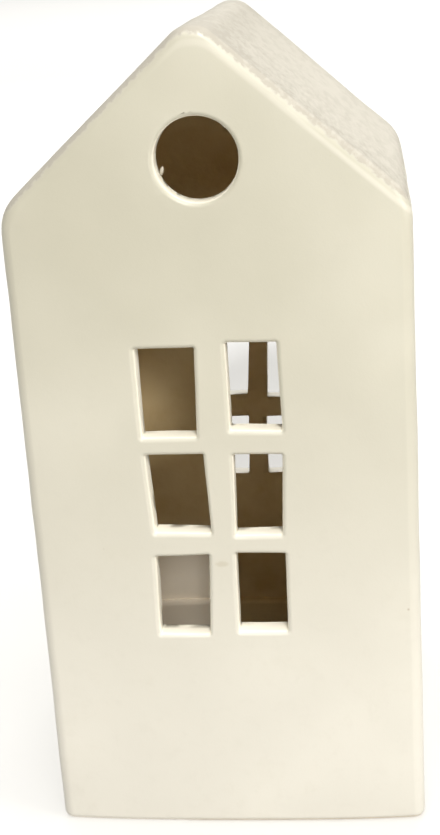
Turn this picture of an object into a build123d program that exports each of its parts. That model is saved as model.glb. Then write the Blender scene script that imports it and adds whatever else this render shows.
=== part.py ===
from build123d import *
import math
import os

# A ceramic house that stands over a tealight.
# Millimetres, +Z up, the origin on the table under the middle of the house, the front towards -Y.

# House: overall sizes, to the corners as they were before rounding.
# The side walls flare a little, from house_width at the eaves to base_width on the table.
house_width = 79.6
base_width = 80.4
house_depth = 88.0
eave_height = 136.8
roof_rise = 35.3
wall_thickness = 4.5

# House: rounded edges of the casting, outside and inside
eave_radius = 10.0
ridge_radius = 6.0
gable_edge_radius = 2.5
base_edge_radius = 1.4
inner_eave_radius = 6.0
inner_ridge_radius = 4.0
inner_edge_radius = 3.0

# House: the thicker foot inside the open base, with a rounded lip on top
foot_height = 12.8
foot_ledge = 2.0
foot_lip_radius = 1.2
foot_corner_radius = 4.0

# House: one round window in each gable, its centre measured up from the eaves and across from the middle
round_diameter = 16.1
front_round_rise = 8.9
back_round_rise = 9.9
front_round_aside = -0.5
back_round_aside = 1.5

# House: the panes of each gable, hung below the eaves and set a little aside from the middle
pane_columns = 2
pane_rows = 3
pane_width = 10.8
pane_height = 18.1
mullion_width = 6.0
bar_height = 4.3
panes_below_eave = 27.5
front_panes_aside = -1.0
back_panes_aside = 1.6
pane_corner_radius = 0.3
cut_edge_radius = 1.0

# House: the panes are cut by hand, so each corner strays by these shares of the pane's width and height.
# A line holds one pane: top left, top right, bottom right and bottom left, in rows from the top.
front_stray_shares = [
    ((-0.04, -0.01), (0.06, -0.01), (0.00, -0.04), (-0.03, -0.04)),
    ((0.08, 0.03), (0.01, 0.02), (0.04, 0.01), (0.08, 0.03)),
    ((0.00, -0.01), (0.10, -0.01), (0.15, 0.03), (0.07, 0.05)),
    ((0.10, -0.03), (0.01, -0.04), (-0.06, 0.00), (0.06, 0.00)),
    ((0.05, -0.01), (0.07, 0.00), (0.01, -0.01), (0.02, 0.00)),
    ((0.04, 0.01), (-0.03, 0.00), (-0.04, 0.02), (0.01, 0.02)),
]
back_stray_shares = [
    ((0.01, 0.03), (0.00, 0.02), (0.01, 0.07), (0.00, 0.08)),
    ((-0.03, 0.01), (0.04, 0.03), (0.05, 0.08), (-0.02, 0.06)),
    ((0.00, 0.04), (0.12, 0.02), (0.00, 0.15), (0.01, 0.14)),
    ((-0.01, 0.03), (-0.01, 0.05), (0.01, 0.09), (-0.09, 0.10)),
    ((-0.01, 0.05), (0.00, 0.06), (-0.08, 0.17), (-0.01, 0.18)),
    ((-0.13, 0.04), (0.03, 0.05), (0.00, 0.18), (-0.15, 0.17)),
]

# Tealight: drawn aluminium cup with a beaded mouth, standing on the ring around its raised middle
cup_base_diameter = 36.8
cup_mouth_diameter = 37.6
cup_height = 15.0
cup_sheet = 0.4
cup_corner_radius = 2.0
cup_bead_radius = 0.6
cup_standing_ring = 3.4
cup_middle_rise = 0.6
cup_middle_slope = 1.0

# Tealight: wax, with its edge drawn up against the cup
wax_below_mouth = 2.6
wax_edge_rise = 0.7
wax_edge_width = 2.5
wax_clearance = 0.05

# Tealight: wick, and the metal foot that grips it
wick_diameter = 2.0
wick_above_wax = 8.0
wick_tip_radius = 0.7
wick_clearance = 0.05
tab_diameter = 12.5
tab_sheet = 0.3
tab_neck_height = 3.0
tab_neck_wall = 0.4

# How far a cutting shape runs past what it cuts, and how near two places are the same
overrun = 5.0
same_place = 0.001

half_width = house_width / 2
half_depth = house_depth / 2
ridge_height = eave_height + roof_rise
roof_angle = math.atan2(roof_rise, half_width)
foot_thickness = wall_thickness + foot_ledge
cup_base_radius = cup_base_diameter / 2
cup_mouth_radius = cup_mouth_diameter / 2
cup_floor_top = cup_middle_rise + cup_sheet
wick_radius = wick_diameter / 2
wick_foot = cup_floor_top + tab_sheet
wax_top = cup_height - wax_below_mouth
neck_radius = wick_radius + wick_clearance + tab_neck_wall
neck_top = wick_foot + tab_neck_height


def near(a, b):
    return abs(a - b) < same_place


# Five-sided outline with a rounded ridge and eaves, drawn in X and Z
def gable_outline(half, foot_half, foot, eave, ridge, eave_round, ridge_round):
    corners = [(-foot_half, foot), (foot_half, foot), (half, eave), (0, ridge), (-half, eave)]
    outline = Polygon(*corners, align=None)
    outline = fillet(outline.vertices().sort_by(Axis.Y)[-1], ridge_round)
    eaves = [v for v in outline.vertices() if near(abs(v.X), half) and not near(v.Y, foot)]
    return fillet(eaves, eave_round)


# The outline drawn out in Y, with its front and back edges rounded all the way round but at the foot
def gable_block(outline, depth, edge_round):
    block = extrude(Plane.XZ * outline, amount=depth / 2, both=True)
    foot = block.bounding_box().min.Z
    rims = [e for e in block.edges() if near(abs(e.center().Y), depth / 2) and not near(e.center().Z, foot)]
    return fillet(rims, edge_round)


def outside():
    half_base = base_width / 2
    outline = gable_outline(half_width, half_base, 0, eave_height, ridge_height, eave_radius, ridge_radius)
    block = gable_block(outline, house_depth, gable_edge_radius)
    return fillet(block.faces().sort_by(Axis.Z)[0].edges(), base_edge_radius)


# The hollow above the foot, one wall's distance from the roof, the gables and the side walls at the eaves
def hollow():
    inner_half = half_width - wall_thickness
    inner_ridge = ridge_height - wall_thickness / math.cos(roof_angle)
    inner_eave = inner_ridge - inner_half * math.tan(roof_angle)
    outline = gable_outline(
        inner_half, inner_half, foot_height, inner_eave, inner_ridge, inner_eave_radius, inner_ridge_radius)
    return gable_block(outline, house_depth - 2 * wall_thickness, inner_edge_radius)


def base_mouth():
    width = house_width - 2 * foot_thickness
    depth = house_depth - 2 * foot_thickness
    mouth = RectangleRounded(width, depth, foot_corner_radius)
    return extrude(Plane.XY.offset(-overrun) * mouth, amount=foot_height + 2 * overrun)


# One pane as it was cut
def pane_outline(row, column, aside, strays):
    left = aside + (column - pane_columns / 2) * (pane_width + mullion_width) + mullion_width / 2
    top = eave_height - panes_below_eave - row * (pane_height + bar_height)
    right = left + pane_width
    bottom = top - pane_height
    plain = [(left, top), (right, top), (right, bottom), (left, bottom)]
    cut = [(x + dx * pane_width, z + dz * pane_height) for (x, z), (dx, dz) in zip(plain, strays)]
    pane = Polygon(*reversed(cut), align=None)
    return fillet(pane.vertices(), pane_corner_radius)


def gable_windows(round_aside, round_rise, panes_aside, stray_shares):
    outlines = [Pos(round_aside, eave_height + round_rise) * Circle(round_diameter / 2)]
    for row in range(pane_rows):
        for column in range(pane_columns):
            strays = stray_shares[row * pane_columns + column]
            outlines.append(pane_outline(row, column, panes_aside, strays))
    return outlines


# Cuts windows through one gable wall, whose side towards +Y lies this far towards -Y
def cut_windows(shell, start, outlines):
    plane = Plane.XZ.offset(start - overrun)
    for outline in outlines:
        shell = shell - extrude(plane * outline, amount=wall_thickness + 2 * overrun)
    return shell


# Rounds the outer edges of the windows in one gable face
def soften_windows(face):
    return fillet([edge for wire in face.inner_wires() for edge in wire.edges()], cut_edge_radius)


def house_shell():
    shell = outside() - hollow() - base_mouth()
    ledge = [f for f in shell.faces().filter_by(Axis.Z) if near(f.center().Z, foot_height)][0]
    shell = fillet([edge for wire in ledge.inner_wires() for edge in wire.edges()], foot_lip_radius)
    front = gable_windows(front_round_aside, front_round_rise, front_panes_aside, front_stray_shares)
    back = gable_windows(back_round_aside, back_round_rise, back_panes_aside, back_stray_shares)
    shell = cut_windows(shell, half_depth - wall_thickness, front)
    shell = cut_windows(shell, -half_depth, back)
    shell = soften_windows(shell.faces().filter_by(Axis.Y).sort_by(Axis.Y)[0])
    return soften_windows(shell.faces().filter_by(Axis.Y).sort_by(Axis.Y)[-1])


def cup_inner_radius(height):
    climb = (height - cup_sheet) / (cup_height - cup_sheet)
    return cup_base_radius - cup_sheet + climb * (cup_mouth_radius - cup_base_radius)


def tealight_cup():
    skirt = cup_base_radius - cup_standing_ring
    middle = skirt - cup_middle_slope
    outline = Polygon(
        (0, cup_middle_rise), (middle, cup_middle_rise), (skirt, 0), (cup_base_radius, 0),
        (cup_mouth_radius, cup_height), (cup_mouth_radius - cup_sheet, cup_height),
        (cup_base_radius - cup_sheet, cup_sheet), (skirt, cup_sheet), (middle, cup_floor_top), (0, cup_floor_top),
        align=None)
    outer = [v for v in outline.vertices() if near(v.X, cup_base_radius) and near(v.Y, 0)]
    outline = fillet(outer, cup_corner_radius)
    inner = [v for v in outline.vertices() if near(v.X, cup_base_radius - cup_sheet) and near(v.Y, cup_sheet)]
    outline = fillet(inner, cup_corner_radius - cup_sheet)
    bead = Pos(cup_mouth_radius, cup_height - cup_bead_radius) * Circle(cup_bead_radius)
    cup = revolve(Plane.XZ * outline, Axis.Z) + revolve(Plane.XZ * bead, Axis.Z)
    return cup


# Wax cast round the wick and its foot
def wax_fill():
    tab_edge = tab_diameter / 2 + wax_clearance
    neck_edge = neck_radius + wax_clearance
    wick_edge = wick_radius + wax_clearance
    tab_cover = wick_foot + wax_clearance
    neck_cover = neck_top + wax_clearance
    wall_top = wax_top + wax_edge_rise
    wall_upper = cup_inner_radius(wall_top) - wax_clearance
    wall_lower = cup_inner_radius(cup_floor_top) - wax_clearance
    outline = Polygon(
        (tab_edge, cup_floor_top), (tab_edge, tab_cover), (neck_edge, tab_cover), (neck_edge, neck_cover),
        (wick_edge, neck_cover), (wick_edge, wax_top), (wall_upper - wax_edge_width, wax_top),
        (wall_upper, wall_top), (wall_lower, cup_floor_top), align=None)
    corner = [v for v in outline.vertices() if near(v.X, wall_lower) and near(v.Y, cup_floor_top)]
    return revolve(Plane.XZ * fillet(corner, cup_corner_radius), Axis.Z)


def wick():
    length = wax_top + wick_above_wax - wick_foot
    strand = extrude(Plane.XY.offset(wick_foot) * Circle(wick_radius), amount=length)
    return fillet(strand.edges().sort_by(Axis.Z)[-1], wick_tip_radius)


def wick_tab():
    disc = extrude(Plane.XY.offset(cup_floor_top) * Circle(tab_diameter / 2), amount=tab_sheet)
    collar = Circle(neck_radius) - Circle(neck_radius - tab_neck_wall)
    return disc + extrude(Plane.XY.offset(wick_foot) * collar, amount=tab_neck_height)


os.makedirs("parts", exist_ok=True)
export_step(house_shell(), "parts/house_shell.step")
export_step(tealight_cup(), "parts/tealight_cup.step")
export_step(wax_fill(), "parts/wax_fill.step")
export_step(wick(), "parts/wick.step")
export_step(wick_tab(), "parts/wick_tab.step")
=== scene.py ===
import math

import bmesh
import bpy
from mathutils import Matrix, Vector


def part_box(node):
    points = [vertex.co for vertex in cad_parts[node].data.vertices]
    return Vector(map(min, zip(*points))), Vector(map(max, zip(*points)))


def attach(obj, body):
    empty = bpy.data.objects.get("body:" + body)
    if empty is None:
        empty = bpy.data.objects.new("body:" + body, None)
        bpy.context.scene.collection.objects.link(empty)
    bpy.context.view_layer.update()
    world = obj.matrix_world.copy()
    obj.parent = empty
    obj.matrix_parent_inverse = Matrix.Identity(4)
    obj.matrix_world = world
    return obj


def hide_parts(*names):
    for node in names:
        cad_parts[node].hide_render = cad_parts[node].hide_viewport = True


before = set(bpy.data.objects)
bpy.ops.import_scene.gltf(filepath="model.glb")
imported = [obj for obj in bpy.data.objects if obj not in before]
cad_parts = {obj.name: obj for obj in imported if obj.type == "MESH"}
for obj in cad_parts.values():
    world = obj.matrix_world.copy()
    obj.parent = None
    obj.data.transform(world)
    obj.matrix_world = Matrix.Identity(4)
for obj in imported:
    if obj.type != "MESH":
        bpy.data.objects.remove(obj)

scene = bpy.context.scene
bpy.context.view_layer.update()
houseLow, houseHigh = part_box("house_shell")
halfWidth = houseHigh.x
halfDepth = houseHigh.y
print("frame loaded:", sorted(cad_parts))


# A socket that works in sums like a number: each sum adds a Math node to its tree
class Wire:
    def __init__(self, tree, socket=None):
        self.tree = tree
        self.socket = socket

    # any node: its settings come first, then the values or wires of its sockets
    def make(self, kind, settings=None, sockets=None, take=0):
        node = self.tree.nodes.new(kind)
        for name, value in (settings or {}).items():
            setattr(node, name, value)
        for name, value in (sockets or {}).items():
            if isinstance(value, Wire):
                self.tree.links.new(value.socket, node.inputs[name])
            else:
                node.inputs[name].default_value = value
        return Wire(self.tree, node.outputs[take])

    def sum(self, operation, *terms):
        return self.make("ShaderNodeMath", {"operation": operation}, dict(enumerate(terms)))

    def __add__(self, other):
        return self.sum("ADD", self, other)

    def __sub__(self, other):
        return self.sum("SUBTRACT", self, other)

    def __rsub__(self, other):
        return self.sum("SUBTRACT", other, self)

    def __mul__(self, other):
        return self.sum("MULTIPLY", self, other)

    def __truediv__(self, other):
        return self.sum("DIVIDE", self, other)

    def __rtruediv__(self, other):
        return self.sum("DIVIDE", other, self)

    def __pow__(self, other):
        return self.sum("POWER", self, other)

    def __neg__(self):
        return self * -1

    def __abs__(self):
        return self.sum("ABSOLUTE", self)

    __radd__ = __add__
    __rmul__ = __mul__

    def least(self, other):
        return self.sum("MINIMUM", self, other)

    def most(self, other):
        return self.sum("MAXIMUM", self, other)

    # 0 below low, 1 above high, and a smooth climb between
    def ramp(self, low, high):
        sockets = {"Value": self, "From Min": low, "From Max": high}
        return self.make("ShaderNodeMapRange", {"interpolation_type": "SMOOTHSTEP"}, sockets)

    # the same climb turned over: 1 below low, 0 above high
    def fade(self, low, high):
        return 1 - self.ramp(low, high)

    # a climb that stops at this weight
    def share(self, low, high, weight):
        return self.ramp(low, high) * weight

    # noise swung to both sides of nothing
    def stray(self, reach):
        return (self - 0.5) * reach

    def vector(self, operation, other):
        return self.make("ShaderNodeVectorMath", {"operation": operation}, {0: self, 1: other})

    def scaled(self, factor):
        sockets = {0: self, "Scale": factor}
        return self.make("ShaderNodeVectorMath", {"operation": "SCALE"}, sockets)

    def parts(self):
        split = self.make("ShaderNodeSeparateXYZ", sockets={0: self}).socket.node
        return [Wire(self.tree, socket) for socket in split.outputs]

    def noise(self, size, detail=3.0, roughness=0.5):
        sockets = {"Vector": self, "Scale": 1 / size, "Detail": detail, "Roughness": roughness}
        return self.make("ShaderNodeTexNoise", sockets=sockets)

    # this colour where the mask is 0, the other where it is 1
    def tint(self, other, mask):
        over = other if isinstance(other, Wire) else (*other, 1)
        sockets = {0: mask, 6: self, 7: over}  # the Mix node's factor and its two colours
        return self.make("ShaderNodeMix", {"data_type": "RGBA"}, sockets, take=2)


# A node material with these fixed values, its shader, and the wire of Object coordinates
def startMaterial(name, constants):
    material = bpy.data.materials.new(name)
    material.use_nodes = True
    tree = material.node_tree
    shader = tree.nodes["Principled BSDF"]
    for socket, value in constants.items():
        shader.inputs[socket].default_value = value
    place = Wire(tree).make("ShaderNodeTexCoord", take="Object")
    return material, shader, place


def feed(shader, sockets):
    for name, wire in sockets.items():
        wire.tree.links.new(wire.socket, shader.inputs[name])


def bump(height, distance):
    return height.make("ShaderNodeBump", sockets={"Height": height, "Distance": distance})


def colour(place, value):
    return place.make("ShaderNodeCombineColor", sockets=dict(enumerate(value)))


# An empty Geometry Nodes tree with these named inputs, and its wires by name
def startTree(name, inputs):
    tree = bpy.data.node_groups.new(name, "GeometryNodeTree")
    tree.interface.new_socket(name="Geometry", in_out="OUTPUT", socket_type="NodeSocketGeometry")
    for title, kind in inputs.items():
        tree.interface.new_socket(name=title, in_out="INPUT", socket_type="NodeSocket" + kind)
    source = tree.nodes.new("NodeGroupInput")
    return {title: Wire(tree, source.outputs[title]) for title in inputs}


def endTree(geometry, material):
    realized = geometry.make("GeometryNodeRealizeInstances", sockets={"Geometry": geometry})
    sockets = {"Geometry": realized, "Material": material}
    dressed = geometry.make("GeometryNodeSetMaterial", sockets=sockets)
    out = geometry.tree.nodes.new("NodeGroupOutput")
    geometry.tree.links.new(dressed.socket, out.inputs[0])
    return geometry.tree


def mark(geometry, domain, name, value):
    sockets = {"Geometry": geometry, "Name": name, "Value": value}
    return geometry.make("GeometryNodeStoreNamedAttribute", {"domain": domain}, sockets)


# Runs a tree on an object and keeps the result as the object's plain mesh
def growMesh(obj, tree, values):
    modifier = obj.modifiers.new(tree.name, "NODES")
    modifier.node_group = tree
    for item in tree.interface.items_tree:
        if item.in_out == "INPUT" and item.name in values:
            modifier[item.identifier] = values[item.name]
    ready = obj.evaluated_get(bpy.context.evaluated_depsgraph_get())
    grown = bpy.data.meshes.new_from_object(ready)
    obj.modifiers.remove(modifier)
    obj.data = grown
    grown.name = obj.name


def newPiece(name, data):
    obj = bpy.data.objects.new(name, data)
    scene.collection.objects.link(obj)
    return obj


# Glaze and clay of the house: a noise has its size, detail and roughness, a mark its start, end and weight
glazeSettings = {
    "wall": 0.0045,
    "eave": 0.1368,
    "eaveHalf": 0.0398,
    "ridge": 0.1721,  # where the roof's two planes would meet
    "crownHalf": 0.004,  # the rounded ridge, and how far it drops below that line
    "crownDrop": 0.00202,
    # cream of the walls
    # the top colour is darker partly by glaze and partly as painted shade, where less light comes up from
    # the floor
    "creamShadedTop": (0.38, 0.362, 0.284),
    "creamLow": (0.53, 0.508, 0.445),
    # thick glaze in patches, and also a painted highlight on the edges and the rake
    "creamThickAndHighlight": (0.94, 0.91, 0.83),
    "creamShade": (0.46, 0.43, 0.335),
    "thickPatch": (0.4, 0.8, 0.12),
    "shadePatch": (0.5, 0.8, 0.12),
    "grainShade": (0.5, 0.7, 0.05),
    "edgeGlazeAndHighlight": 0.05,
    # painted light on the window reveals and sills
    "revealLight": (0.89, 0.85, 0.725),
    "revealLightShare": 0.85,
    "broadNoise": (0.05, 2.0),
    "cloudNoise": (0.012, 4.0, 0.6),
    "grainNoise": (0.003, 5.0, 0.68),
    "fineNoise": (0.0004, 2.0),
    # grain of the roof, and a painted highlight on the rake beside it
    "roofPale": (0.437, 0.413, 0.354),
    "grainAndShadeGrey": (0.33, 0.307, 0.257),
    "roofEdge": (0.001, 0.0017),
    "raggedNoise": (0.0014, 3.0),
    "raggedClip": (0.35, 0.65),
    "raggedReach": 0.0006,
    "rakeHighlightTop": (0.0019, 0.0028),
    "rakeHighlightFoot": (0.00315, 0.0042),
    "rakeHighlightEnds": (0.038, 0.041),
    "rakeHighlightRight": (-0.012, 0.004, 0.11),
    "rakeHighlightLow": (0.01, 0.034, 0.05),
    "drawnScale": (1.0, 0.36, 1.0),
    "dappleNoise": (0.0022, 4.0, 0.62),
    "dappleGrey": (0.42, 0.66, 0.36),
    "fleckNoise": (0.0013, 4.0, 0.62),
    "fleckClip": (0.38, 0.62),
    "fleckFront": (-0.04, 0.03),
    "fleckGrey": 0.42,
    "crestGrey": (0.15, 0.17, 0.3),
    "ridgeGrey": (0.163, 0.1695, 0.3),
    "shoulderGrey": (0.028, 0.042, 0.32),
    "lipGrey": (0.0002, 0.0009, 0.3),
    # painted shade on the left slope, which faces away from the lamps
    "shadedLeftSlope": (-0.005, 0.001),
    "leftSlopeShade": 0.4,
    # bare clay
    "clay": (0.71, 0.56, 0.31),
    "clayDark": (0.63, 0.47, 0.23),
    # a pool of window light painted on the clay, low at the back-left
    "clayLitPool": (0.99, 0.91, 0.77),
    "clayPatch": (0.35, 0.75),
    "litPoolBelow": (0.024, 0.038),
    "litPoolLeft": (-0.014, -0.009),
    "bareDepth": (0.72, 0.85),  # shares of the wall's thickness
    "footBare": 0.0009,
    # specks and the smudge
    "speck": (0.24, 0.17, 0.1),
    "speckScale": 160.0,
    "speckSize": (0.03, 0.075),
    "speckPick": (0.93, 0.95),
    "speckShare": 0.55,
    "smudge": (0.4, 0.36, 0.28),
    "smudgeAt": (-0.0006, 0.0626),
    "smudgeSize": (0.0018, 0.0008),
    "smudgeStray": 0.0006,
    "smudgeRim": (0.1, 1.0),
    "smudgeDepth": (-0.0445, -0.042),
    "smudgeShare": 0.8,
    # gloss and relief
    "roughFront": 0.42,
    "roughRoof": 0.8,
    "roughClay": 0.85,
    "roughStray": 0.12,
    "coat": 0.25,
    "coatRough": 0.3,
    "coatIor": 1.5,
    "grainHeight": 0.12,
    "grainRoof": 0.6,
    "grainClay": 0.8,
    "fineHeight": 0.12,
    "cloudHeight": 0.4,
    "relief": 0.00012,
}
roofSlope = (glazeSettings["ridge"] - glazeSettings["eave"]) / glazeSettings["eaveHalf"]


# How far a point lies straight below the roof's planes
def gapUnderRoof(x, z):
    return glazeSettings["ridge"] - z - abs(x) * roofSlope


def makeGlaze():
    look = glazeSettings
    constants = {"Coat Roughness": look["coatRough"], "Coat IOR": look["coatIor"]}
    material, shader, place = startMaterial("creamGlaze", constants)
    x, y, z = place.parts()
    reveal = place.make("ShaderNodeAttribute", {"attribute_name": "reveal"}, take="Fac")
    edge = place.make("ShaderNodeAttribute", {"attribute_name": "edge"}, take="Fac")
    broad = place.noise(*look["broadNoise"])
    cloud = place.noise(*look["cloudNoise"])
    grain = place.noise(*look["grainNoise"])
    fine = place.noise(*look["fineNoise"])

    # clay shows inside and under the foot, but not in the windows' reveals
    roofGap = gapUnderRoof(x, z)
    roofWall = look["wall"] / math.cos(math.atan(roofSlope))
    sideGap = (halfWidth - abs(x)).least(halfDepth - abs(y))
    depthIn = (sideGap / look["wall"]).least(roofGap / roofWall)
    inside = depthIn.ramp(*look["bareDepth"]) * (1 - reveal)
    bare = inside.most(z.fade(0.0, look["footBare"]))

    # the roof's grain runs over the ridge and ends raggedly on the rake, which carries a painted
    # highlight, strongest on the right and towards the right eave
    ragged = place.noise(*look["raggedNoise"]).ramp(*look["raggedClip"]).stray(look["raggedReach"])
    crown = (1 - abs(x) / look["crownHalf"]).most(0.0)
    skinGap = roofGap - crown * crown * look["crownDrop"]
    roof = (skinGap + ragged).fade(*look["roofEdge"])
    rake = skinGap.ramp(*look["rakeHighlightTop"]) * skinGap.fade(*look["rakeHighlightFoot"])
    rake = rake * abs(y).ramp(*look["rakeHighlightEnds"])
    rake = rake * (x.share(*look["rakeHighlightRight"]) + x.share(*look["rakeHighlightLow"]))

    # the grain is drawn out along the slope and greyer at the ridge and the front end, and the left slope
    # gets painted shade
    drawn = place.make("ShaderNodeMapping", sockets={"Vector": place, "Scale": look["drawnScale"]})
    dapple = drawn.noise(*look["dappleNoise"])
    flecks = drawn.noise(*look["fleckNoise"]).ramp(*look["fleckClip"])
    grey = dapple.share(*look["dappleGrey"])
    grey = grey + z.share(*look["crestGrey"]) + z.share(*look["ridgeGrey"])
    grey = grey + y.fade(*look["fleckFront"]) * flecks * look["fleckGrey"]
    grey = grey + abs(y).share(*look["shoulderGrey"]) + skinGap.share(*look["lipGrey"])
    # painted shade on the left slope
    grey = grey + x.fade(*look["shadedLeftSlope"]) * look["leftSlopeShade"]

    # cream is paler towards the foot, partly glaze and partly painted shade on the upper walls, and thick
    # glaze lies in patches
    glaze = colour(place, look["creamLow"]).tint(look["creamShadedTop"], z.ramp(0.0, look["eave"]))
    glaze = glaze.tint(look["creamThickAndHighlight"], broad.share(*look["thickPatch"]))
    glaze = glaze.tint(look["creamShade"], cloud.share(*look["shadePatch"]))
    glaze = glaze.tint(look["roofPale"], roof)
    glaze = glaze.tint(look["grainAndShadeGrey"], grey.least(1.0) * roof)
    glaze = glaze.tint(look["grainAndShadeGrey"], grain.share(*look["grainShade"]))
    # painted highlight on the rake and, weakly, on all rounded edges
    glaze = glaze.tint(look["creamThickAndHighlight"], (edge * look["edgeGlazeAndHighlight"]).most(rake))
    # painted light on the reveals and sills
    glaze = glaze.tint(look["revealLight"], reveal * look["revealLightShare"])

    # a few iron specks, and a smudge of glaze on the mullion of the front
    sockets = {"Vector": place, "Scale": look["speckScale"]}
    cell = place.make("ShaderNodeTexVoronoi", sockets=sockets)
    pick = Wire(place.tree, cell.socket.node.outputs["Color"]).parts()[0]
    speck = cell.fade(*look["speckSize"]) * pick.ramp(*look["speckPick"])
    glaze = glaze.tint(look["speck"], speck * look["speckShare"])
    across = (x - look["smudgeAt"][0]) / look["smudgeSize"][0]
    upward = z - look["smudgeAt"][1] + fine.stray(look["smudgeStray"])
    upward = upward / look["smudgeSize"][1]
    smudge = (across * across + upward * upward).fade(*look["smudgeRim"])
    smudge = smudge * y.fade(*look["smudgeDepth"])
    glaze = glaze.tint(look["smudge"], smudge * look["smudgeShare"])

    clay = colour(place, look["clay"]).tint(look["clayDark"], cloud.ramp(*look["clayPatch"]))
    # a pool of window light painted pale on the clay, low at the back-left
    litPool = z.fade(*look["litPoolBelow"]) * x.fade(*look["litPoolLeft"])
    clay = clay.tint(look["clayLitPool"], litPool)

    rough = look["roughFront"] + roof * (look["roughRoof"] - look["roughFront"])
    rough = rough + cloud.stray(look["roughStray"])
    rough = rough + bare * (look["roughClay"] - rough)
    height = grain * (look["grainHeight"] + roof * look["grainRoof"] + bare * look["grainClay"])
    height = height + fine * look["fineHeight"] + cloud * look["cloudHeight"]
    feed(shader, {
        "Base Color": glaze.tint(clay, bare),
        "Roughness": rough,
        "Coat Weight": (1 - bare) * (1 - roof) * look["coat"],
        "Normal": bump(height, look["relief"]),
    })
    return material


# House: the cast shell, cut finer and then swelled a little, as a hand-finished casting is
shellSettings = {
    "mergeGap": 0.000001,
    "flatAngle": 0.6,
    "cell": 0.0026,
    "sharpAngle": 42.0,
    "Bow": 0.0014,
    "Bow Power": 3.0,
    "Swell Height": 0.00022,
    "Swell Size": 0.034,
    "Wobble": 0.0002,
    "Wobble Size": 0.011,
    "Foot Height": 0.006,
    "Rim Width": 0.006,
    "Inset": 0.00001,
    "Seed": 4.0,
    "noiseDetail": 1.0,
    "edgeBend": (0.03, 0.14),
    "edgeBlur": 1,
    "revealTurn": (0.25, 0.8),
    "rimFade": 1.5,
    "wallSlack": 0.0001,
}


def makeShellTree(material):
    form = shellSettings
    titles = ("Bow", "Bow Power", "Swell Height", "Swell Size", "Wobble", "Wobble Size",
              "Foot Height", "Rim Width", "Inset", "Seed")
    wires = startTree("castSwell", {"Geometry": "Geometry", **dict.fromkeys(titles, "Float")})
    start = wires["Geometry"]
    place = start.make("GeometryNodeInputPosition")
    normal = start.make("GeometryNodeInputNormal")
    x, y, z = place.parts()

    def field(size, take):
        sockets = {"Vector": place, "W": wires["Seed"], "Scale": 1 / size, "Detail": form["noiseDetail"]}
        return start.make("ShaderNodeTexNoise", {"noise_dimensions": "4D"}, sockets, take)

    # swell and wobble die out at the foot, and the gables draw back towards their sides
    lift = z.ramp(0.0, wires["Foot Height"])
    swell = normal.scaled(field(wires["Swell Size"], "Fac").stray(wires["Swell Height"]) * 2 * lift)
    centred = field(wires["Wobble Size"], "Color").vector("ADD", (-0.5, -0.5, -0.5))
    wobble = centred.scaled(wires["Wobble"] * 2 * lift)
    inward = -y * (wires["Bow"] / halfDepth) * (abs(x) / halfWidth) ** wires["Bow Power"]
    bow = start.make("ShaderNodeCombineXYZ", sockets={"Y": inward})
    offset = swell.vector("ADD", wobble).vector("ADD", bow)

    # rounded edges are marked for the material, which paints them paler: partly thick glaze, partly a
    # painted highlight
    bend = start.make("GeometryNodeInputMeshEdgeAngle", take="Signed Angle").ramp(*form["edgeBend"])
    sharp = start.make("GeometryNodeFieldOnDomain", {"domain": "EDGE"}, {"Value": bend})
    sockets = {"Value": sharp, "Iterations": form["edgeBlur"]}
    soft = start.make("GeometryNodeBlurAttribute", sockets=sockets)
    marked = mark(start, "POINT", "edge", soft)

    # reveals are the faces well inside the gables that turn away from front and back
    inner = (halfWidth - abs(x)).least(gapUnderRoof(x, z)).least(z)
    inGable = inner.ramp(wires["Rim Width"], wires["Rim Width"] * form["rimFade"])
    wallFace = halfDepth - glazeSettings["wall"]
    inWall = abs(y).ramp(wallFace - form["wallSlack"], wallFace)
    aslant = abs(normal.parts()[1]).fade(*form["revealTurn"])
    marked = mark(marked, "FACE", "reveal", aslant * inGable * inWall)

    # the shell keeps inside the box of the cast solid
    inset = wires["Inset"]
    low = start.make("ShaderNodeCombineXYZ", sockets={
        "X": inset - halfWidth, "Y": inset - halfDepth, "Z": houseLow.z,
    })
    high = start.make("ShaderNodeCombineXYZ", sockets={
        "X": halfWidth - inset, "Y": halfDepth - inset, "Z": houseHigh.z - inset,
    })
    kept = place.vector("ADD", offset).vector("MAXIMUM", low).vector("MINIMUM", high)
    moved = start.make("GeometryNodeSetPosition", sockets={"Geometry": marked, "Position": kept})
    smooth = start.make("GeometryNodeSetShadeSmooth", sockets={"Geometry": moved})
    return endTree(smooth, material)


# A merged copy of the cast solid's mesh, its flats made whole and then cut on a grid
def fineCopy(node, form):
    bm = bmesh.new()
    bm.from_mesh(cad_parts[node].data)
    bmesh.ops.remove_doubles(bm, verts=bm.verts, dist=form["mergeGap"])
    flat = math.radians(form["flatAngle"])
    bmesh.ops.dissolve_limit(bm, angle_limit=flat, verts=bm.verts, edges=bm.edges)
    low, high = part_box(node)
    for axis in range(3):
        across = Vector([1.0 if i == axis else 0.0 for i in range(3)])
        count = math.ceil((high[axis] - low[axis]) / form["cell"])
        step = (high[axis] - low[axis]) / count
        for i in range(1, count):
            point = across * (low[axis] + i * step)
            geom = bm.verts[:] + bm.edges[:] + bm.faces[:]
            bmesh.ops.bisect_plane(bm, geom=geom, dist=form["mergeGap"], plane_co=point, plane_no=across)
    bmesh.ops.triangulate(bm, faces=[f for f in bm.faces if len(f.verts) > 4])
    mesh = bpy.data.meshes.new(node)
    bm.to_mesh(mesh)
    bm.free()
    return mesh


def makeHouse():
    form = shellSettings
    shell = newPiece("houseShell", fineCopy("house_shell", form))
    growMesh(shell, makeShellTree(makeGlaze()), form)
    shell.data.set_sharp_from_angle(angle=math.radians(form["sharpAngle"]))
    even = shell.modifiers.new("evenShade", "WEIGHTED_NORMAL")
    even.keep_sharp = True
    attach(shell, "house")
    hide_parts("house_shell")
    print("house shell:", len(shell.data.polygons), "faces")


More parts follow.
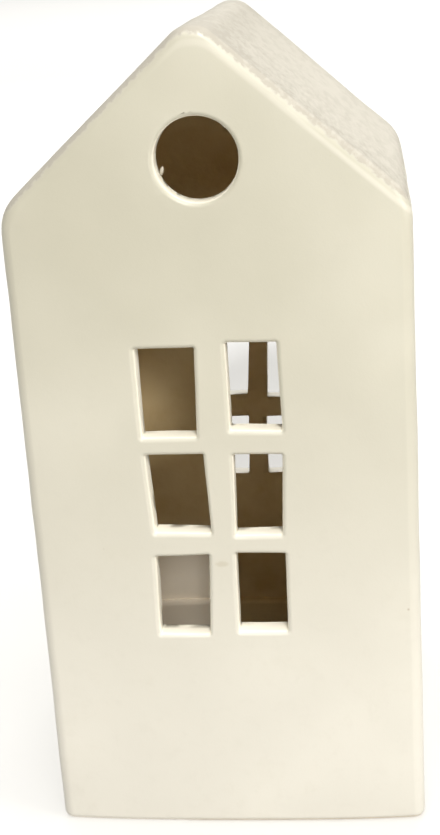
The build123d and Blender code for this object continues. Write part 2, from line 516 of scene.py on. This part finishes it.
# A drop of glaze that ran to the inner rim of the front's round window
dropSettings = {
    "at": (-0.0076, -0.0396, 0.1432),
    "radii": (0.0004, 0.0005, 0.00095),
    "lean": 16.0,
    "rounds": 3,
    "pale": (0.4, 0.37, 0.3),
    "shade": (0.32, 0.29, 0.23),
    "runNoise": (0.0008, 2.0),
    "rough": 0.25,
    "roughRun": 0.2,
    "coat": 0.4,
    "coatRough": 0.2,
}


def makeDrop():
    form = dropSettings
    constants = {"Coat Weight": form["coat"], "Coat Roughness": form["coatRough"]}
    material, shader, place = startMaterial("pooledGlaze", constants)
    run = place.noise(*form["runNoise"])
    feed(shader, {
        "Base Color": colour(place, form["pale"]).tint(form["shade"], run),
        "Roughness": form["rough"] + run * form["roughRun"],
    })
    lean = Matrix.Rotation(math.radians(form["lean"]), 4, "Y")
    spot = Matrix.Translation(form["at"]) @ lean @ Matrix.Diagonal((*form["radii"], 1))
    bm = bmesh.new()
    bmesh.ops.create_icosphere(bm, subdivisions=form["rounds"], radius=1, matrix=spot)
    for face in bm.faces:
        face.smooth = True
    mesh = bpy.data.meshes.new("glazeDrop")
    bm.to_mesh(mesh)
    bm.free()
    mesh.materials.append(material)
    drop = newPiece("glazeDrop", mesh)
    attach(drop, "house")
    print("glaze drop set")


# Wax: a turned ring round the wick, drawn up at the cup and at the wick
waxSettings = {
    "steps": 120,
    "edgeRise": 0.0007,
    "edgeWidth": 0.0032,
    "wickRise": 0.0009,
    "wickWidth": 0.0022,
    "wickGap": 0.00004,
    "arcPoints": 8,
    "arcPower": 3,
    "dip": 0.0002,
    "corner": ((0.0022, 0.0), (0.0006, 0.0008), (0.0004, 0.0025)),  # inset and height at the cup's floor
    "sharpAngle": 50.0,
    "white": (0.93, 0.92, 0.88),
    "frost": (0.84, 0.835, 0.8),
    "frostNoise": (0.0035, 5.0, 0.65),
    "frostPatch": (0.42, 0.72),
    "broadNoise": (0.012, 2.0),
    "broadHeight": 2,
    "rough": 0.32,
    "roughFrost": 0.25,
    "roughStray": 0.1,
    "relief": 0.0001,
    "glow": 0.35,
    "glowDepth": 0.003,
    "glowReach": (1.0, 0.8, 0.6),
}


def makeWaxMaterial():
    look = waxSettings
    material, shader, place = startMaterial("whiteWax", {
        "Subsurface Weight": look["glow"], "Subsurface Scale": look["glowDepth"],
        "Subsurface Radius": look["glowReach"],
    })
    frost = place.noise(*look["frostNoise"])
    broad = place.noise(*look["broadNoise"])
    mask = frost.ramp(*look["frostPatch"])
    feed(shader, {
        "Base Color": colour(place, look["white"]).tint(look["frost"], mask),
        "Roughness": look["rough"] + mask * look["roughFrost"] + broad.stray(look["roughStray"]),
        "Normal": bump(frost + broad * look["broadHeight"], look["relief"]),
    })
    return material


# A closed ring turned round the Z axis from an outline of (radius, height) points
def turnedMesh(name, outline, steps):
    bm = bmesh.new()
    rings = []
    for step in range(steps):
        angle = 2 * math.pi * step / steps
        spot = (math.cos(angle), math.sin(angle))
        rings.append([bm.verts.new((r * spot[0], r * spot[1], h)) for r, h in outline])
    for step in range(steps):
        this = rings[step]
        after = rings[(step + 1) % steps]
        for i in range(len(outline)):
            k = (i + 1) % len(outline)
            bm.faces.new((this[i], after[i], after[k], this[k]))
    bmesh.ops.recalc_face_normals(bm, faces=bm.faces)
    for face in bm.faces:
        face.smooth = True
    mesh = bpy.data.meshes.new(name)
    bm.to_mesh(mesh)
    bm.free()
    return mesh


def makeWax():
    form = waxSettings
    low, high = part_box("wax_fill")
    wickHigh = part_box("wick")[1]
    outer = high.x
    inner = wickHigh.x + form["wickGap"]
    level = high.z - form["edgeRise"]
    outline = [(inner, low.z)]
    outline += [(outer - inset, low.z + rise) for inset, rise in form["corner"]]
    for i in range(form["arcPoints"] + 1):
        share = 1 - i / form["arcPoints"]
        rise = form["edgeRise"] * share ** form["arcPower"]
        outline.append((outer - form["edgeWidth"] * (1 - share), level + rise))
    middle = (outer - form["edgeWidth"] + inner + form["wickWidth"]) / 2
    outline.append((middle, level - form["dip"]))
    for i in range(form["arcPoints"] + 1):
        share = i / form["arcPoints"]
        rise = form["wickRise"] * share ** form["arcPower"]
        outline.append((inner + form["wickWidth"] * (1 - share), level + rise))
    wax = newPiece("wax", turnedMesh("wax", outline, form["steps"]))
    wax.data.materials.append(makeWaxMaterial())
    wax.data.set_sharp_from_angle(angle=math.radians(form["sharpAngle"]))
    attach(wax, "tealight")
    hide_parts("wax_fill")
    print("wax:", len(wax.data.polygons), "faces")


# Wick: cotton strands twisted together, splayed a little and bent at the tip
wickSettings = {
    "Strands": 5,
    "Turns": 3.2,
    "Strand Share": 0.42,
    "Splay": 0.35,
    "Lean": 0.0012,
    "splayPower": 4.0,
    "turnPoints": 24,
    "ringPoints": 10,
    "cotton": (0.86, 0.82, 0.72),
    "cottonShade": (0.62, 0.56, 0.45),
    "fibreNoise": (0.0003, 4.0, 0.7),
    "fibreShade": (0.4, 0.75),
    "rough": 0.55,
    "roughFibre": 0.3,
    "relief": 0.00008,
    "sheen": 0.2,
}


def makeWickMaterial():
    look = wickSettings
    material, shader, place = startMaterial("waxedCotton", {"Sheen Weight": look["sheen"]})
    fibre = place.noise(*look["fibreNoise"])
    shade = fibre.ramp(*look["fibreShade"])
    feed(shader, {
        "Base Color": colour(place, look["cotton"]).tint(look["cottonShade"], shade),
        "Roughness": look["rough"] + fibre * look["roughFibre"],
        "Normal": bump(fibre, look["relief"]),
    })
    return material


def makeWickTree(material):
    form = wickSettings
    wires = startTree("twistedWick", {
        "Strands": "Int", "Turns": "Float", "Strand Share": "Float", "Splay": "Float", "Lean": "Float",
        "Radius": "Float", "Foot": "Float", "Tip": "Float", "Wax Level": "Float",
    })
    start = wires["Radius"]
    strandRadius = start * wires["Strand Share"]
    orbit = start - strandRadius
    helix = start.make("GeometryNodeCurveSpiral", sockets={
        "Resolution": form["turnPoints"], "Rotations": wires["Turns"],
        "Start Radius": orbit, "End Radius": orbit, "Height": wires["Tip"] - wires["Foot"],
    })
    points = start.make("GeometryNodeMeshLine", sockets={
        "Count": wires["Strands"], "Offset": (0.0, 0.0, 0.0),
    })
    turn = start.make("GeometryNodeInputIndex") * (2 * math.pi) / wires["Strands"]
    spin = start.make("ShaderNodeCombineXYZ", sockets={"Z": turn})
    copies = start.make("GeometryNodeInstanceOnPoints", sockets={
        "Points": points, "Instance": helix, "Rotation": spin,
    })
    strands = start.make("GeometryNodeRealizeInstances", sockets={"Geometry": copies})
    ring = start.make("GeometryNodeCurvePrimitiveCircle", sockets={
        "Resolution": form["ringPoints"], "Radius": strandRadius,
    })
    tube = start.make("GeometryNodeCurveToMesh", sockets={
        "Curve": strands, "Profile Curve": ring, "Fill Caps": True,
    })
    x, y, z = start.make("GeometryNodeInputPosition").parts()
    height = z + wires["Foot"]
    rise = height.ramp(wires["Wax Level"], wires["Tip"])
    spread = 1 + wires["Splay"] * rise ** form["splayPower"]
    place = start.make("ShaderNodeCombineXYZ", sockets={
        "X": x * spread + wires["Lean"] * rise * rise, "Y": y * spread, "Z": height,
    })
    moved = start.make("GeometryNodeSetPosition", sockets={"Geometry": tube, "Position": place})
    smooth = start.make("GeometryNodeSetShadeSmooth", sockets={"Geometry": moved})
    return endTree(smooth, material)


def makeWick():
    low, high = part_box("wick")
    values = dict(wickSettings)
    values.update({"Radius": high.x, "Foot": low.z, "Tip": high.z, "Wax Level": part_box("wax_fill")[1].z})
    wick = newPiece("wickStrands", bpy.data.meshes.new("wickStrands"))
    growMesh(wick, makeWickTree(makeWickMaterial()), values)
    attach(wick, "tealight")
    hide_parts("wick")
    print("wick:", len(wick.data.polygons), "faces")


# Metal of the cup and of the wick's foot
metalSettings = {
    "aluminium": {"bright": (0.86, 0.865, 0.87), "dull": (0.7, 0.705, 0.715), "rough": 0.3},
    "tin": {"bright": (0.72, 0.715, 0.69), "dull": (0.55, 0.545, 0.52), "rough": 0.38},
    "lineScale": (6.0, 6.0, 700.0),  # fine rings round the cup, as drawing leaves them
    "lineNoise": (1.0, 3.0, 0.6),
    "lineRough": 0.2,
    "lineHeight": 0.5,
    "dullNoise": (0.006, 3.0),
    "dullPatch": (0.42, 0.75),
    "dullRough": 0.15,
    "relief": 0.00006,
}


def makeMetal(name, metal):
    look = metalSettings
    material, shader, place = startMaterial(name, {"Metallic": 1.0})
    rings = place.make("ShaderNodeMapping", sockets={"Vector": place, "Scale": look["lineScale"]})
    lines = rings.noise(*look["lineNoise"])
    film = place.noise(*look["dullNoise"])
    rough = metal["rough"] + lines.stray(look["lineRough"]) + film.stray(look["dullRough"])
    feed(shader, {
        "Base Color": colour(place, metal["bright"]).tint(metal["dull"], film.ramp(*look["dullPatch"])),
        "Roughness": rough,
        "Normal": bump(lines * look["lineHeight"] + film, look["relief"]),
    })
    return material


def dressNodes():
    aluminium = makeMetal("drawnAluminium", metalSettings["aluminium"])
    tin = makeMetal("stampedTin", metalSettings["tin"])
    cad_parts["tealight_cup"].material_slots[0].material = aluminium
    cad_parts["wick_tab"].material_slots[0].material = tin
    print("cup and wick foot dressed")


# Floor and light of the picture
studioSettings = {
    "floorSize": 14.0,
    "floorPale": (0.53, 0.525, 0.511),
    "floorShade": (0.52, 0.515, 0.501),
    "floorNoise": (0.4, 2.0),
    "floorBounce": (0.463, 0.452, 0.433),
    "skyLow": (0.19, 0.188, 0.184),
    "skyHigh": (1.54, 1.53, 1.5),
    "skyPower": 2.0,
    "backdropLow": (0.74, 0.74, 0.737),
    "backdropHigh": (0.97, 0.97, 0.965),
    "backdropRise": 0.2,
    "exposure": 0.0,
    "sunFrom": (0.06, -0.88, 0.47),
    "sunSpread": 8.0,
    "sunPower": 5.2,
    "lampTint": (1, 0.98, 0.95),
    "lamps": {
        "keyWindow": {"at": (0.378, -1.039, 1.129), "aim": (0, 0, 0.09), "size": 0.18, "power": 17.5},
        "topWindow": {"at": (0.1, -0.65, 1.2), "aim": (0, 0, 0.1), "size": 0.6, "power": 3.8},
        "sideWindow": {"at": (1.25, -0.5, 0.5), "aim": (0, 0, 0.09), "size": 0.5, "power": 8.0},
        "backFill": {"at": (-0.5, 1.2, 0.8), "aim": (0, 0, 0.09), "size": 0.8, "power": 5.0},
        "backWash": {
            "at": (0.6, 3.2, 2.6), "aim": (0, 1.5, 0), "size": 1.5, "power": 40.0, "tint": (1, 1, 1),
        },
        "lowFill": {"at": (0.1, -0.55, 0.06), "aim": (0, 0, 0.02), "size": 0.25, "power": 0.8},
    },
}


# A floor that the camera sees a little paler than the one that throws light back at the house
def makeFloor():
    look = studioSettings
    bm = bmesh.new()
    bmesh.ops.create_grid(bm, x_segments=1, y_segments=1, size=look["floorSize"] / 2)
    mesh = bpy.data.meshes.new("floor")
    bm.to_mesh(mesh)
    bm.free()
    floor = newPiece("floor", mesh)
    material, _, place = startMaterial("paleFloor", {})
    pale = colour(place, look["floorPale"]).tint(look["floorShade"], place.noise(*look["floorNoise"]))
    seen = place.make("ShaderNodeBsdfDiffuse", sockets={"Color": pale})
    bounced = place.make("ShaderNodeBsdfDiffuse", sockets={"Color": (*look["floorBounce"], 1)})
    direct = place.make("ShaderNodeLightPath", take="Is Camera Ray")
    surface = place.make("ShaderNodeMixShader", sockets={0: direct, 1: bounced, 2: seen})
    feed(material.node_tree.nodes["Material Output"], {"Surface": surface})
    mesh.materials.append(material)
    print("floor laid")
    return floor


# A soft sky that lights the house, and a pale backdrop that only the camera sees
def makeSky():
    look = studioSettings
    world = bpy.data.worlds.new("softSky")
    world.use_nodes = True
    up = Wire(world.node_tree).make("ShaderNodeTexCoord", take="Generated").parts()[2]
    glow = colour(up, look["skyLow"]).tint(look["skyHigh"], up.most(0.0) ** look["skyPower"])
    backdrop = colour(up, look["backdropLow"])
    backdrop = backdrop.tint(look["backdropHigh"], up.ramp(0.0, look["backdropRise"]))
    direct = up.make("ShaderNodeLightPath", take="Is Camera Ray")
    feed(world.node_tree.nodes["Background"], {"Color": glow.tint(backdrop, direct)})
    scene.world = world
    print("sky set")


# The floor alone, for a lamp that spares it or lights nothing else
def floorGroup(name, floor, state):
    group = bpy.data.collections.new(name)
    group.objects.link(floor)
    group.collection_objects[0].light_linking.link_state = state
    return group


def makeLamps(floor):
    look = studioSettings
    for name, lamp in look["lamps"].items():
        light = bpy.data.lights.new(name, "AREA")
        light.size = lamp["size"]
        light.energy = lamp["power"]
        light.color = lamp.get("tint", look["lampTint"])
        obj = newPiece(name, light)
        obj.location = lamp["at"]
        way = Vector(lamp["aim"]) - Vector(lamp["at"])
        obj.rotation_euler = way.to_track_quat("-Z", "Y").to_euler()
        if name == "keyWindow":
            obj.light_linking.receiver_collection = floorGroup("unlitByKey", floor, "EXCLUDE")
    light = bpy.data.lights.new("floorSun", "SUN")
    light.energy = look["sunPower"]
    light.angle = math.radians(look["sunSpread"])
    sun = newPiece("floorSun", light)
    sun.location = look["sunFrom"]
    sun.rotation_euler = Vector(look["sunFrom"]).to_track_quat("Z", "Y").to_euler()
    sun.light_linking.receiver_collection = floorGroup("litByFloorSun", floor, "INCLUDE")
    scene.view_settings.view_transform = "Standard"
    scene.view_settings.look = "None"
    scene.view_settings.exposure = look["exposure"]
    print("studio lit by", len(look["lamps"]), "lamps and a sun on the floor")


# Camera: where the picture was taken from, with its lens in pixels
cameraSettings = {
    "eye": (0.032307, -0.303671, 0.185955),
    "yaw": 0.0946,
    "pitch": 0.3281,
    "roll": -0.0577,
    "focalPixels": 1395.3,
    "centrePixel": (252.71, 404.44),
    "imageSize": (440, 835),
    "film": 36.0,
    "clipStart": 0.01,
}


def makeCamera():
    view = cameraSettings
    width, height = view["imageSize"]
    yaw, pitch, roll = view["yaw"], view["pitch"], view["roll"]
    flat = math.cos(pitch)
    forward = Vector((-math.sin(yaw) * flat, math.cos(yaw) * flat, -math.sin(pitch)))
    level = Vector((math.cos(yaw), math.sin(yaw), 0))
    upright = level.cross(forward)
    right = level * math.cos(roll) + upright * math.sin(roll)
    up = upright * math.cos(roll) - level * math.sin(roll)
    camera = newPiece("photoCamera", bpy.data.cameras.new("photoCamera"))
    turn = Matrix((right, up, -forward)).transposed().to_4x4()
    camera.matrix_world = Matrix.Translation(view["eye"]) @ turn
    camera.data.sensor_width = view["film"]
    camera.data.lens = view["focalPixels"] / height * view["film"]
    camera.data.shift_x = (width / 2 - view["centrePixel"][0]) / height
    camera.data.shift_y = (view["centrePixel"][1] - height / 2) / height
    camera.data.clip_start = view["clipStart"]
    scene.camera = camera
    print("camera set")


makeHouse()
makeDrop()
makeWax()
makeWick()
dressNodes()
floor = makeFloor()
makeSky()
makeLamps(floor)
makeCamera()
